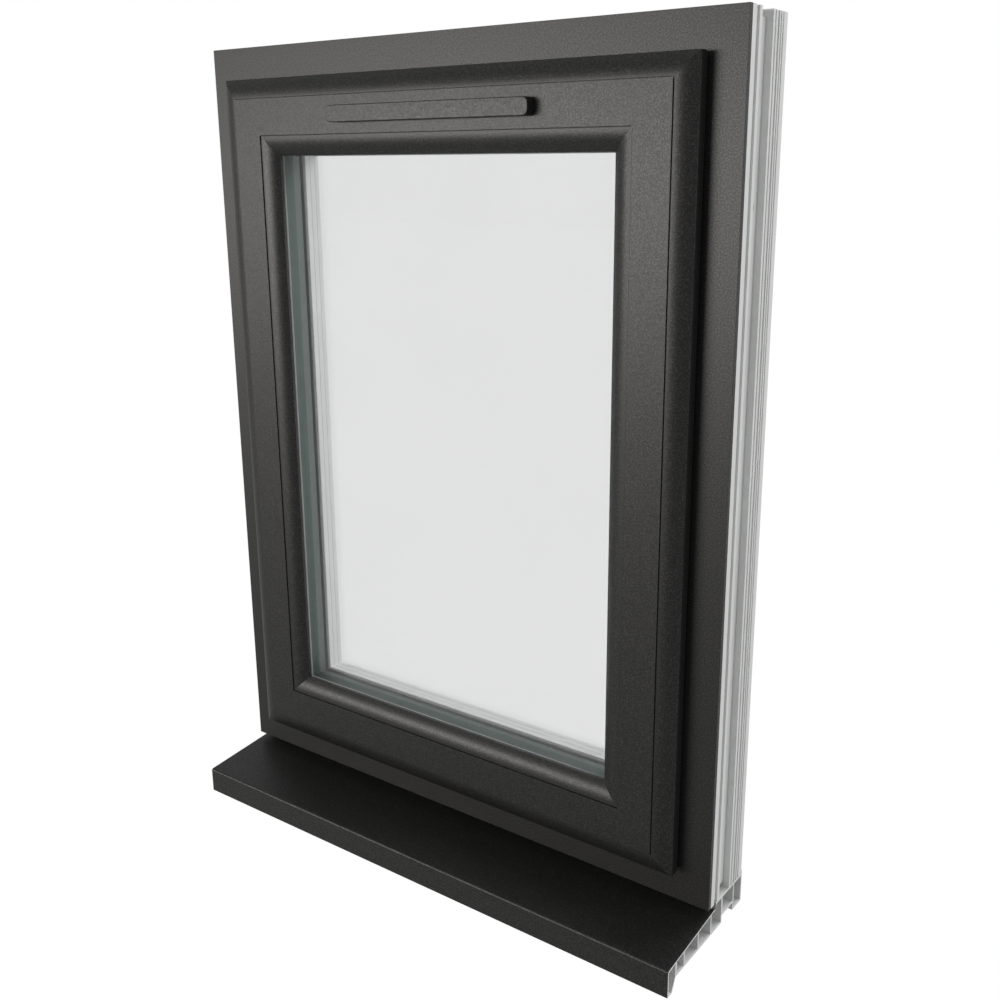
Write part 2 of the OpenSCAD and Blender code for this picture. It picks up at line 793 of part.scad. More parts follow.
module inner_glazing_gasket() color(black) ring() area(o_sight - gasket_w, y_g3, o_sight, y_bead);

module bead_top() color(white) run_top() bead_section();

module bead_bottom() color(white) run_bottom() bead_section();

module bead_hinge_side() color(white) run_left() bead_section();

module bead_lock_side() color(white) run_right() bead_section();

module setting_blocks() color(black) for (s = [-1, 1])
    translate([s * block_x - block_l / 2, y_g0 + block_play, z0 + o_plat])
        cube([block_l, y_g3 - y_g0 - 2 * block_play, block_t]);

// Lock
module faceplate_screw_places() for (s = [-1, 1])
    translate([hw - o_edge + face_t, y_lock, zc + s * plate_screw_z]) rotate([0, 90, 0]) children();

module cam_places() for (s = [-1, 1])
    translate([hw - o_edge, y_lock, zc + s * keep_half + bar_travel]) children();

module lock_faceplate() color(steel) difference() {
    translate([hw - o_edge, y_lock - plate_w / 2, zc - plate_half]) cube([face_t, plate_w, 2 * plate_half]);
    faceplate_screw_places() screw_body(small_screw, screw_clear);
    cam_places() cam_slot();
}

// Slot in the faceplate for one cam's stem over its travel
module cam_slot() {
    r = cam_r + slide_clear;
    translate([-cut, -r, -bar_travel]) cube([face_t + 2 * cut, 2 * r, bar_travel]);
    for (z = [-bar_travel, 0]) translate([-cut, 0, z]) rotate([0, 90, 0])
        cylinder(r = r, h = face_t + 2 * cut);
}

module faceplate_screws() color(steel) faceplate_screw_places() screw(small_screw);

module lock_gearbox() color(steel) difference() {
    translate([hw - o_plat + wall + case_gap, case_y0, zc - case_half])
        cube([o_plat - o_edge - 2 * wall - 2 * case_gap, case_y1 - case_y0, 2 * case_half]);
    translate([hw - o_pitch - addendum - gear_play, y_lock - rack_w / 2 - cut, zc - case_half - cut])
        cube([o_pitch, rack_w + 2 * cut, 2 * case_half + 2 * cut]);
    translate([x_spin, y_lock - pinion_w / 2 - cut, zc]) rotate([-90, 0, 0])
        cylinder(r = pitch_r + addendum + gear_play, h = pinion_w + 2 * cut);
    translate([x_spin, case_y0 - cut, zc]) rotate([-90, 0, 0])
        cylinder(r = spindle_bore_r, h = case_y1 - case_y0 + 2 * cut);
    handle_screw_places() screw_body(handle_screw, screw_clear);
}

// Outline of one tooth, root at -dedendum, tip at addendum
module tooth() polygon([
    [-dedendum - cut, -tooth_w / 2 - dedendum * flank], [-dedendum, -tooth_w / 2 - dedendum * flank],
    [addendum, -tooth_w / 2 + addendum * flank], [addendum, tooth_w / 2 - addendum * flank],
    [-dedendum, tooth_w / 2 + dedendum * flank], [-dedendum - cut, tooth_w / 2 + dedendum * flank]
]);

module drive_bar() color(steel) {
    rack_half = (rack_teeth + 1) * tooth_pitch / 2;
    rack_mid = zc + bar_travel / 2;
    o_root = o_pitch - dedendum;
    translate([hw - o_edge - wall, y_lock - bar_w / 2, zc - bar_half]) cube([bar_t, bar_w, 2 * bar_half]);
    translate([hw - o_root, y_lock - rack_w / 2, rack_mid - rack_half])
        cube([o_root - o_edge - wall, rack_w, 2 * rack_half]);
    for (i = [0 : rack_teeth - 1])
        translate([hw - o_pitch, y_lock - rack_w / 2, zc + (i - rack_start) * tooth_pitch])
            rotate([-90, 0, 0]) linear_extrude(rack_w) mirror([1, 0]) tooth();
}

module lock_cams() color(steel) cam_places() {
    tip = stack - cam_gap;
    translate([-bar_gap, 0, 0]) rotate([0, 90, 0]) cylinder(r = cam_r, h = tip + bar_gap - cam_head_h);
    translate([tip - cam_head_h, 0, 0]) rotate([0, 90, 0]) cylinder(r = cam_head_r, h = cam_head_h);
}

module lock_pinion() color(steel) translate([x_spin, y_lock - pinion_w / 2, zc]) rotate([-90, 0, 0])
    linear_extrude(pinion_w) difference() {
        union() {
            circle(pitch_r - dedendum);
            for (i = [0 : teeth - 1]) rotate(360 / teeth * i) translate([pitch_r, 0]) tooth();
        }
        square(spindle_w, center = true);
    }

// Handle
module handle_screw_places() for (s = [-1, 1])
    translate([x_spin, y_back + base_t, zc + s * handle_screw_z]) rotate([-90, 0, 0]) children();

module handle_base() color(white) difference() {
    translate([x_spin, y_back, zc]) rotate([-90, 0, 0]) linear_extrude(base_t)
        rounded(base_w, 2 * base_half, base_r);
    translate([x_spin, y_back + base_t - socket_d, zc]) rotate([-90, 0, 0])
        cylinder(d = neck_d + 2 * run_clear, h = socket_d + cut);
    translate([x_spin, y_back - cut, zc]) rotate([-90, 0, 0]) cylinder(r = spindle_bore_r, h = base_t);
    handle_screw_places() screw_body(handle_screw, screw_clear);
}

// Rectangle w by h with round corners, centred
module rounded(w, h, r) {
    square([w - 2 * r, h], center = true);
    square([w, h - 2 * r], center = true);
    for (x = [-1, 1], z = [-1, 1]) translate([x * (w / 2 - r), z * (h / 2 - r)]) circle(r);
}

module handle_screws() color(steel) handle_screw_places() screw(handle_screw);

module handle_lever() color(white) translate([x_spin, 0, zc]) difference() {
    neck_y = y_back + base_t - socket_d + stay_gap;
    union() {
        translate([0, neck_y, 0]) rotate([-90, 0, 0]) cylinder(d = neck_d, h = grip_y - neck_y);
        translate([0, grip_y, 0]) sphere(elbow_r);
        translate([0, grip_y, -lever_l]) cylinder(r1 = grip_r1, r2 = grip_r0, h = lever_l);
        translate([0, grip_y, -lever_l]) sphere(grip_r1);
    }
    translate([0, grip_y, 0]) rotate([-90, 0, 0]) cylinder(r = button_r + button_gap, h = elbow_r + cut);
    translate([-spindle_w / 2, neck_y - cut, -spindle_w / 2])
        cube([spindle_w, grip_y - neck_y - bore_end, spindle_w]);
}

module handle_spindle() color(steel)
    translate([x_spin - spindle_w / 2, case_y0 + spindle_in, zc - spindle_w / 2])
        cube([spindle_w, grip_y - spindle_end - case_y0 - spindle_in, spindle_w]);

module handle_button() color(steel)
    translate([x_spin, grip_y + elbow_r + button_out - button_l, zc]) rotate([-90, 0, 0])
        cylinder(r = button_r, h = button_l);

// Trickle vent
module vent_slot(ya, yb) translate([vent_x, yb, z_vent]) rotate([90, 0, 0])
    linear_extrude(yb - ya) rounded(vent_slot_l, vent_slot_h, vent_slot_r);

module canopy_screw_places() for (s = [-1, 1])
    translate([vent_x + s * canopy_screw_x, y_face - base_plate_t, z_vent]) rotate([90, 0, 0]) children();

module vent_canopy() color(foil) difference() {
    translate([vent_x, y_face, z_vent]) rotate([90, 0, 0]) linear_extrude(canopy_t)
        rounded(canopy_l, canopy_h, canopy_r);
    translate([vent_x, y_face + cut, z_vent]) rotate([90, 0, 0])
        linear_extrude(canopy_t - canopy_wall + cut)
            rounded(canopy_l - 2 * canopy_wall, canopy_h - 2 * canopy_wall, canopy_r - canopy_wall);
    for (i = [0 : louvre_n - 1])
        translate([
            vent_x + (i - (louvre_n - 1) / 2) * louvre_pitch - louvre_l / 2,
            y_face - (canopy_t + louvre_w) / 2, z_vent - canopy_h
        ]) cube([louvre_l, louvre_w, canopy_h / 2 + canopy_wall]);
}

module canopy_base() color(foil) difference() {
    translate([vent_x, y_face, z_vent]) rotate([90, 0, 0]) linear_extrude(base_plate_t)
        rounded(base_plate_l, base_plate_h, base_plate_r);
    vent_slot(y_face - base_plate_t - cut, y_face + cut);
    canopy_screw_places() screw_body(small_screw, screw_clear);
}

module canopy_screws() color(steel) canopy_screw_places() screw(small_screw);

module controller_screw_places() for (s = [-1, 1])
    translate([vent_x + s * ctrl_screw_x, y_back + ctrl_t, z_vent]) rotate([-90, 0, 0]) children();

function ctrl_slot(i) = (i - (ctrl_n - 1) / 2) * ctrl_pitch - ctrl_slot_l / 2;

module vent_controller() color(white) difference() {
    translate([vent_x, y_back, z_vent]) rotate([-90, 0, 0]) linear_extrude(ctrl_t)
        rounded(2 * ctrl_half, ctrl_h, ctrl_r);
    translate([vent_x + ctrl_x0, y_back - cut, z_vent - ctrl_in_h / 2])
        cube([ctrl_x1 - ctrl_x0, ctrl_t - ctrl_wall + cut, ctrl_in_h]);
    for (i = [0 : ctrl_n - 1])
        translate([vent_x + ctrl_slot(i), y_back, z_vent - ctrl_slot_h / 2])
            cube([ctrl_slot_l, ctrl_t + cut, ctrl_slot_h]);
    translate([vent_x + knob_x - knob_w / 2 - slide_clear, y_back, z_vent - knob_h / 2 - slide_clear])
        cube([knob_w + shutter_travel + 2 * slide_clear, ctrl_t + cut, knob_h + 2 * slide_clear]);
    controller_screw_places() screw_body(small_screw, screw_clear);
}

module controller_screws() color(steel) controller_screw_places() screw(small_screw);

module vent_shutter() color(white) {
    y = y_back + ctrl_t - ctrl_wall - shutter_gap - shutter_t;
    h = ctrl_in_h - 2 * slide_clear;
    difference() {
        translate([vent_x + shutter_x0, y, z_vent - h / 2]) cube([shutter_x1 - shutter_x0, shutter_t, h]);
        for (i = [0 : ctrl_n - 1])
            translate([vent_x + ctrl_slot(i), y - cut, z_vent - ctrl_slot_h / 2])
                cube([ctrl_slot_l, shutter_t + 2 * cut, ctrl_slot_h]);
    }
    translate([vent_x + knob_x - knob_w / 2, y, z_vent - knob_h / 2])
        cube([knob_w, shutter_t + shutter_gap + ctrl_wall + knob_out, knob_h]);
}

frame_head();
frame_bottom_rail();
frame_hinge_jamb();
frame_lock_jamb();
sill();
sill_screws();
frame_seal();
stay_plates();
stay_plate_screws();
plate_pivots();
lock_keeps();
keep_screws();
stay_arms();
sash_top_rail();
sash_bottom_rail();
sash_hinge_stile();
sash_lock_stile();
sash_seal();
outer_pane();
inner_pane();
spacer_bar();
edge_seal();
outer_glazing_gasket();
inner_glazing_gasket();
bead_top();
bead_bottom();
bead_hinge_side();
bead_lock_side();
setting_blocks();
sash_brackets();
bracket_screws();
bracket_pivots();
guide_pins();
lock_faceplate();
faceplate_screws();
lock_gearbox();
drive_bar();
lock_cams();
handle_base();
handle_screws();
handle_lever();
handle_spindle();
lock_pinion();
handle_button();
vent_canopy();
canopy_base();
canopy_screws();
vent_controller();
controller_screws();
vent_shutter();
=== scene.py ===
"""Looks of a side-hung casement window: film, plastic, glass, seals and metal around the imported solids.

Metres. X runs along the width seen from outside, Y into the room, Z up.
"""

import logging
import math
from dataclasses import dataclass, field
from enum import Enum
from typing import Sequence, Union

import bmesh
import bpy
import numpy as np
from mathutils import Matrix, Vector


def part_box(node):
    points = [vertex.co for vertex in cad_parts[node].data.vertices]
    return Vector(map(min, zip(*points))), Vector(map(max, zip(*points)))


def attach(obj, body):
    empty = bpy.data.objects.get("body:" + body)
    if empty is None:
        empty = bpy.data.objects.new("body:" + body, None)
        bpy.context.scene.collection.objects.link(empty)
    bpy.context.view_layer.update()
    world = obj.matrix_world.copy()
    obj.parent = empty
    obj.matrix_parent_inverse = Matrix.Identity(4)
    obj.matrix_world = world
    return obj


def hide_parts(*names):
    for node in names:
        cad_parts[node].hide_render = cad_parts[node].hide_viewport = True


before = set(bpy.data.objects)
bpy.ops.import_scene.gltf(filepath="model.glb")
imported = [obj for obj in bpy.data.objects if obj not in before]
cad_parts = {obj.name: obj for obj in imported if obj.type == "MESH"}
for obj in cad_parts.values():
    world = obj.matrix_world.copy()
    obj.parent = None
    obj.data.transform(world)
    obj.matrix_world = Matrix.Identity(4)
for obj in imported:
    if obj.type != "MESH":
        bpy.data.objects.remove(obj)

LOG = logging.getLogger("casement")
MM = 0.001
PANES = ("outer_pane", "inner_pane")
WHITE = (1.0, 1.0, 1.0)
Socket = bpy.types.NodeSocket
Colour = tuple[float, float, float]
Point = tuple[float, float, float]
Span = tuple[float, float]
Value = Union[Socket, float, Colour]


class FilmSide(Enum):
    """Where the dark outside film lies on a white plastic length."""

    FRAME_FRONT = "frame_front"
    SASH_FRONT = "sash_front"
    SILL_TOP = "sill_top"
    ALL_OVER = "all_over"


class Metal(Enum):
    """Metal pieces that differ in tone and polish."""

    ZINC = "zinc"
    SPACER = "spacer"
    BUTTON = "button"


class NodeSheet:
    """One material's node tree, with short methods that add and join nodes."""

    def __init__(self, name: str) -> None:
        """Start an empty tree with one surface shader.

        Args:
            name: Name of the new material.
        """
        self.material = bpy.data.materials.new(name)
        self.material.use_nodes = True
        self.tree = self.material.node_tree
        self.tree.nodes.clear()
        out = self.tree.nodes.new("ShaderNodeOutputMaterial")
        self.surface = self.tree.nodes.new("ShaderNodeBsdfPrincipled")
        self.tree.links.new(self.surface.outputs["BSDF"], out.inputs["Surface"])

    def set(self, **values: Value) -> None:
        """Set or link surface inputs; a name's underscores stand for spaces.

        Args:
            values: Number, colour or socket for each input.
        """
        for key, value in values.items():
            self.feed(self.surface.inputs[key.replace("_", " ")], value)

    def feed(self, target: Socket, value: Value) -> None:
        """Give an input a socket or a constant.

        Args:
            target: Input to fill.
            value: Socket to link, or number or colour to set.
        """
        if isinstance(value, bpy.types.NodeSocket):
            self.tree.links.new(value, target)
        elif isinstance(value, tuple):
            target.default_value = (*value, 1.0)[: len(target.default_value)]
        else:
            target.default_value = value

    def place(self) -> Socket:
        """Return the Object coordinate, which is the row frame at rest."""
        return self.tree.nodes.new("ShaderNodeTexCoord").outputs["Object"]

    def axes(self) -> tuple[Socket, Socket, Socket]:
        """Return the three Object coordinates as separate sockets."""
        split = self.tree.nodes.new("ShaderNodeSeparateXYZ")
        self.feed(split.inputs[0], self.place())
        return split.outputs[0], split.outputs[1], split.outputs[2]

    def math(self, operation: str, first: Value, second: Value = 0.0, third: Value = 0.0) -> Socket:
        """Add one math node.

        Args:
            operation: Blender's name of the operation.
            first: First operand.
            second: Second operand.
            third: Third operand, where the operation has one.

        Returns:
            The result.
        """
        node = self.tree.nodes.new("ShaderNodeMath")
        node.operation = operation
        for target, value in zip(node.inputs, (first, second, third)):
            self.feed(target, value)
        return node.outputs[0]

    def noise(self, size: float, detail: float = 2.0, stretch: Point = (1.0, 1.0, 1.0)) -> Socket:
        """Add soft noise on Object coordinates.

        Args:
            size: Rough size of a patch, in metres.
            detail: Number of finer layers.
            stretch: Scale along each axis, to draw the noise out.

        Returns:
            The noise, about 0 to 1.
        """
        mapping = self.tree.nodes.new("ShaderNodeMapping")
        self.feed(mapping.inputs["Vector"], self.place())
        mapping.inputs["Scale"].default_value = stretch
        node = self.tree.nodes.new("ShaderNodeTexNoise")
        self.feed(node.inputs["Vector"], mapping.outputs[0])
        node.inputs["Scale"].default_value = 1.0 / size
        node.inputs["Detail"].default_value = detail
        return node.outputs["Fac"]

    def spread(self, value: Value, low: float, high: float, start: float = 0.3, end: float = 0.7) -> Socket:
        """Map a value from one range to another.

        Args:
            value: What to map.
            low: Result at start.
            high: Result at end.
            start: Value that gives low.
            end: Value that gives high.

        Returns:
            The mapped value, held inside its limits.
        """
        node = self.tree.nodes.new("ShaderNodeMapRange")
        limits = {"Value": value, "From Min": start, "From Max": end, "To Min": low, "To Max": high}
        for key, number in limits.items():
            self.feed(node.inputs[key], number)
        return node.outputs[0]

    def around(self, value: Value, middle: float, swing: Span) -> Socket:
        """Map soft noise to a range about a middle value.

        Args:
            value: The noise.
            middle: Middle value.
            swing: Lowest and highest departure from it.

        Returns:
            The mapped value.
        """
        return self.spread(value, middle + swing[0], middle + swing[1])

    def mix(self, share: Value, first: Union[Socket, Colour], second: Union[Socket, Colour]) -> Socket:
        """Mix two colours.

        Args:
            share: Share of the second colour.
            first: Colour at share 0.
            second: Colour at share 1.

        Returns:
            The mixed colour.
        """
        node = self.tree.nodes.new("ShaderNodeMix")
        node.data_type = "RGBA"
        share_in, first_in, second_in, colour_out = 0, 6, 7, 2
        self.feed(node.inputs[share_in], share)
        self.feed(node.inputs[first_in], first)
        self.feed(node.inputs[second_in], second)
        return node.outputs[colour_out]

    def bump(self, height: Socket, depth: float, strength: float, edge: Value = 0.0) -> None:
        """Roughen the surface and soften its edges.

        Args:
            height: Height pattern, 0 to 1.
            depth: Depth of the pattern in metres.
            strength: Share of the depth that shows.
            edge: Radius of the softened edges in metres, 0 for sharp ones.
        """
        node = self.tree.nodes.new("ShaderNodeBump")
        node.inputs["Strength"].default_value = strength
        node.inputs["Distance"].default_value = depth
        self.feed(node.inputs["Height"], height)
        if edge:
            soft = self.tree.nodes.new("ShaderNodeBevel")
            soft.samples = 4
            self.feed(soft.inputs["Radius"], edge)
            self.feed(node.inputs["Normal"], soft.outputs[0])
        self.set(Normal=node.outputs[0])


def tinted(colour: Colour, factor: float) -> Colour:
    """Return a colour scaled in brightness."""
    return tuple(channel * factor for channel in colour)


@dataclass(frozen=True)
class MitredLoop:
    """Rectangle of the frame's outer edge, along which a section is carried inward of it."""

    half_w: float
    bottom: float
    top: float

    @staticmethod
    def of_frame() -> "MitredLoop":
        """Read the loop from the jambs' box."""
        low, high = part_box("frame_lock_jamb")
        return MitredLoop(high[0], low[2], high[2])

    @property
    def middle(self) -> float:
        """Height of the loop's middle."""
        return (self.bottom + self.top) / 2

    @property
    def half_h(self) -> float:
        """Half the loop's height."""
        return (self.top - self.bottom) / 2

    def carry(self, section: np.ndarray) -> tuple[np.ndarray, np.ndarray]:
        """Carry a closed section round the loop with mitred corners.

        A section point (o, y) goes to the four corners (+-(half_w - o), y, bottom + o or top - o),
        and each edge of the section sweeps one quad along each side.

        Args:
            section: Points as rows of inward distance and depth, anticlockwise.

        Returns:
            Vertices and quads.
        """
        across = np.array([-1.0, 1.0, 1.0, -1.0])[:, None]
        upward = np.array([-1.0, -1.0, 1.0, 1.0])[:, None]
        inward, depth = section[None, :, 0], section[None, :, 1]
        x = across * (self.half_w - inward)
        z = self.middle + upward * (self.half_h - inward)
        points = np.stack([x, np.broadcast_to(depth, x.shape), z], axis=-1).reshape(-1, 3)
        count = len(section)
        corner, step = np.meshgrid(np.arange(4), np.arange(count), indexing="ij")
        after, beside = (corner + 1) % 4, (step + 1) % count
        faces = np.stack([corner * count + step, after * count + step, after * count + beside,
                          corner * count + beside], axis=-1).reshape(-1, 4)
        return points, faces


@dataclass(frozen=True)
class WhitePlastic:
    """Smooth extruded white plastic with faint clouding."""

    colour: Colour = (0.80, 0.81, 0.80)
    roughness: float = 0.46
    specular: float = 0.45
    edge: float = 0.4 * MM
    cloud: float = 60.0 * MM
    cloud_tint: float = 0.955
    gloss_patch: float = 4.0 * MM
    gloss: Span = (-0.05, 0.06)
    skin: float = 2.2 * MM
    skin_depth: float = 0.04 * MM
    skin_share: float = 0.25

    def colours(self, sheet: NodeSheet) -> Socket:
        """Return the slightly clouded white of the plastic."""
        patch = sheet.noise(self.cloud, 3.0)
        return sheet.mix(sheet.spread(patch, 0.0, 1.0), tinted(self.colour, self.cloud_tint), self.colour)

    def material(self, name: str) -> bpy.types.Material:
        """Make the plain white material.

        Args:
            name: Name of the material.

        Returns:
            The material.
        """
        sheet = NodeSheet(name)
        sheet.set(Base_Color=self.colours(sheet), Specular_IOR_Level=self.specular)
        sheet.set(Roughness=sheet.around(sheet.noise(self.gloss_patch), self.roughness, self.gloss))
        sheet.bump(sheet.noise(self.skin), self.skin_depth, self.skin_share, self.edge)
        return sheet.material


@dataclass(frozen=True)
class SillShape:
    """Planes of the sill that carry film, read in the row frame."""

    front: float = -76.4 * MM
    nose_z: float = 14.2 * MM
    step: float = 13.5 * MM
    step_z: float = 23.8 * MM
    film_end: float = 15.4 * MM
    nose_r: float = 2.4 * MM

    @property
    def slope(self) -> float:
        """Rise of the top for each metre of depth."""
        return (self.step_z - self.nose_z) / (self.step - self.front)


@dataclass(frozen=True)
class OutsideFilm:
    """Dark grey film with a fine metallic speckle over white plastic."""

    colour: Colour = (0.012, 0.0118, 0.0115)
    fleck: Colour = (0.042, 0.0412, 0.04)
    roughness: float = 0.42
    gloss: Span = (-0.06, 0.06)
    gloss_grain: float = 0.8
    specular: float = 0.5
    glitter: float = 0.08
    glitter_reach: Span = (0.4, 0.6)
    grain: float = 1.3 * MM
    grain_layers: float = 3.0
    fleck_reach: Span = (0.48, 0.75)
    relief: float = 0.02 * MM
    relief_share: float = 0.9
    edge: float = 0.6 * MM
    film_t: float = 0.3 * MM
    frame_wrap: float = 4.8 * MM
    sash_wrap: float = -3.3 * MM
    weld: float = 1.5 * MM
    loop: MitredLoop = field(default_factory=MitredLoop.of_frame)
    core: WhitePlastic = field(default_factory=WhitePlastic)
    sill: SillShape = field(default_factory=SillShape)

    def cover(self, sheet: NodeSheet, side: FilmSide) -> Value:
        """Share of film at a point.

        On frame and sash the film ends at one depth. On the sill it lies above the sloping top
        plane z = nose_z + slope (y - front) less one film thickness, in front of the nose face, and
        outside the circle of radius nose_r, less one film thickness, that rounds the nose.

        Args:
            sheet: Material being made.
            side: Which faces carry film.

        Returns:
            1 where film lies, 0 on bare plastic.
        """
        if side is FilmSide.ALL_OVER:
            return 1.0
        _, y, z = sheet.axes()
        if side is FilmSide.FRAME_FRONT:
            return sheet.math("LESS_THAN", y, self.frame_wrap)
        if side is FilmSide.SASH_FRONT:
            return sheet.math("LESS_THAN", y, self.sash_wrap)
        s = self.sill
        plane = sheet.math("MULTIPLY_ADD", y, s.slope, s.nose_z - s.slope * s.front - self.film_t)
        top = sheet.math("GREATER_THAN", z, plane)
        top = sheet.math("MULTIPLY", top, sheet.math("LESS_THAN", y, s.film_end))
        face = sheet.math("LESS_THAN", y, s.front + self.film_t)
        rise = sheet.math("SUBTRACT", z, s.nose_z - s.nose_r)
        run = sheet.math("SUBTRACT", s.front + s.nose_r, y)
        squares = sheet.math("ADD", sheet.math("POWER", rise, 2.0), sheet.math("POWER", run, 2.0))
        outer = sheet.math("GREATER_THAN", sheet.math("SQRT", squares), s.nose_r - self.film_t)
        above, ahead = sheet.math("GREATER_THAN", rise, 0.0), sheet.math("GREATER_THAN", run, 0.0)
        nose = sheet.math("MULTIPLY", sheet.math("MULTIPLY", above, ahead), outer)
        return sheet.math("MAXIMUM", sheet.math("MAXIMUM", top, face), nose)

    def softness(self, sheet: NodeSheet, side: FilmSide) -> Value:
        """Radius of the softened edges, 0 along the welded mitres, which are flush.

        A mitre is where the inward distances from the side, half_w - |x|, and from head or bottom,
        half_h - |z - middle|, are equal.

        Args:
            sheet: Material being made.
            side: Which faces carry film.

        Returns:
            The radius in metres.
        """
        if side not in (FilmSide.FRAME_FRONT, FilmSide.SASH_FRONT):
            return self.edge
        x, _, z = sheet.axes()
        beside = sheet.math("SUBTRACT", self.loop.half_w, sheet.math("ABSOLUTE", x))
        rise = sheet.math("ABSOLUTE", sheet.math("SUBTRACT", z, self.loop.middle))
        above = sheet.math("SUBTRACT", self.loop.half_h, rise)
        off = sheet.math("ABSOLUTE", sheet.math("SUBTRACT", beside, above))
        return sheet.math("MULTIPLY", sheet.math("GREATER_THAN", off, self.weld), self.edge)

    def material(self, name: str, side: FilmSide) -> bpy.types.Material:
        """Make the film, with bare plastic where it ends.

        Args:
            name: Name of the material.
            side: Which faces carry film.

        Returns:
            The material.
        """
        sheet = NodeSheet(name)
        speck = sheet.noise(self.grain, self.grain_layers)
        film = sheet.mix(sheet.spread(speck, 0.0, 1.0, *self.fleck_reach), self.colour, self.fleck)
        rough = sheet.around(sheet.noise(self.grain * self.gloss_grain, 1.0), self.roughness, self.gloss)
        dull, bright = self.specular - self.glitter, self.specular + self.glitter
        sheet.set(Specular_IOR_Level=sheet.spread(speck, dull, bright, *self.glitter_reach))
        if side is FilmSide.ALL_OVER:
            sheet.set(Base_Color=film, Roughness=rough)
        else:
            cover = self.cover(sheet, side)
            sheet.set(Base_Color=sheet.mix(cover, self.core.colours(sheet), film), Roughness=rough)
        sheet.bump(speck, self.relief, self.relief_share, self.softness(sheet, side))
        return sheet.material


@dataclass(frozen=True)
class ClearGlass:
    """Float glass with a faint green body and a slight haze."""

    colour: Colour = (0.878, 0.881, 0.880)
    roughness: float = 0.01
    ior: float = 1.5
    haze: float = 150.0 * MM
    haze_tint: float = 0.99

    def material(self, name: str) -> bpy.types.Material:
        """Make the glass.

        Args:
            name: Name of the material.

        Returns:
            The material.
        """
        sheet = NodeSheet(name)
        share = sheet.spread(sheet.noise(self.haze), 0.0, 1.0)
        sheet.set(Base_Color=sheet.mix(share, self.colour, tinted(self.colour, self.haze_tint)))
        sheet.set(Transmission_Weight=1.0, IOR=self.ior, Roughness=self.roughness)
        return sheet.material


@dataclass(frozen=True)
class SoftSeal:
    """Extruded rubbery seal."""

    colour: Colour = (0.05, 0.052, 0.052)
    roughness: float = 0.55
    gloss: Span = (-0.06, 0.08)
    patch: float = 1.5 * MM
    patch_tint: float = 0.8
    relief: float = 0.05 * MM
    relief_share: float = 0.4

    def material(self, name: str) -> bpy.types.Material:
        """Make the seal material.

        Args:
            name: Name of the material.

        Returns:
            The material.
        """
        sheet = NodeSheet(name)
        patch = sheet.noise(self.patch, 3.0)
        share = sheet.spread(patch, 0.0, 1.0)
        sheet.set(Base_Color=sheet.mix(share, tinted(self.colour, self.patch_tint), self.colour))
        sheet.set(Roughness=sheet.around(patch, self.roughness, self.gloss))
        sheet.bump(patch, self.relief, self.relief_share)
        return sheet.material


@dataclass(frozen=True)
class PlatedMetal:
    """Plated or drawn metal with fine scratches along one axis."""

    colour: Colour
    roughness: float
    draw: Point = (1.0, 1.0, 0.05)
    gloss: Span = (-0.08, 0.1)
    line: float = 0.6 * MM
    line_tint: float = 0.86

    @staticmethod
    def of(kind: Metal) -> "PlatedMetal":
        """Return the finish of one metal piece.

        Args:
            kind: Which metal.

        Returns:
            Its finish.
        """
        return {
            Metal.ZINC: PlatedMetal((0.55, 0.555, 0.56), 0.36),
            Metal.SPACER: PlatedMetal((0.12, 0.147, 0.139), 0.5, (0.05, 1.0, 0.05)),
            Metal.BUTTON: PlatedMetal((0.78, 0.78, 0.79), 0.16),
        }[kind]

    def material(self, name: str) -> bpy.types.Material:
        """Make the metal.

        Args:
            name: Name of the material.

        Returns:
            The material.
        """
        sheet = NodeSheet(name)
        lines = sheet.noise(self.line, 3.0, self.draw)
        share = sheet.spread(lines, 0.0, 1.0)
        sheet.set(Base_Color=sheet.mix(share, tinted(self.colour, self.line_tint), self.colour))
        sheet.set(Metallic=1.0, Roughness=sheet.around(lines, self.roughness, self.gloss))
        return sheet.material


class Finishes:
    """Every material of the window, made once and shared."""

    def __init__(self) -> None:
        """Make the materials."""
        film = OutsideFilm()
        self.frame_film = film.material("frame_film", FilmSide.FRAME_FRONT)
        self.sash_film = film.material("sash_film", FilmSide.SASH_FRONT)
        self.sill_film = film.material("sill_film", FilmSide.SILL_TOP)
        self.canopy_film = film.material("canopy_film", FilmSide.ALL_OVER)
        self.white = WhitePlastic().material("white_plastic")
        # Beads get a lighter copy of the white plastic: painted brightness, so that beads seen through both
        # panes read as brightly lit
        self.bead = WhitePlastic((0.90, 0.91, 0.905)).material("bead_plastic_painted_brighter")
        self.glass = ClearGlass().material("clear_glass")
        self.gasket = SoftSeal((0.28, 0.291, 0.288)).material("glazing_gasket")
        self.seal = SoftSeal().material("weather_seal")
        self.block = SoftSeal((0.09, 0.09, 0.10), 0.45).material("setting_block")
        self.zinc = PlatedMetal.of(Metal.ZINC).material("zinc_plate")
        self.spacer = PlatedMetal.of(Metal.SPACER).material("spacer_bar")
        self.button = PlatedMetal.of(Metal.BUTTON).material("bright_button")


def dress(names: Sequence[str], material: bpy.types.Material) -> None:
    """Give CAD nodes one material.

    Args:
        names: Names of the nodes.
        material: The material.
    """
    for name in names:
        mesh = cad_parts[name].data
        mesh.materials.clear()
        mesh.materials.append(material)
        LOG.info("dressed %s with %s", name, material.name)


def new_piece(name: str, points: np.ndarray, faces: np.ndarray, material: bpy.types.Material,
              body: str) -> bpy.types.Object:
    """Put a computed surface into the scene, on a body.

    Args:
        name: Name of the piece.
        points: Vertices, one row each.
        faces: Quads of vertex numbers, one row each.
        material: Its finish.
        body: CAD body that carries it.

    Returns:
        The new object.
    """
    mesh = bpy.data.meshes.new(name)
    mesh.from_pydata(points.tolist(), [], faces.tolist())
    mesh.materials.append(material)
    mesh.update()
    piece = bpy.data.objects.new(name, mesh)
    bpy.context.scene.collection.objects.link(piece)
    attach(piece, body)
    LOG.info("built %s with %d faces", name, len(faces))
    return piece


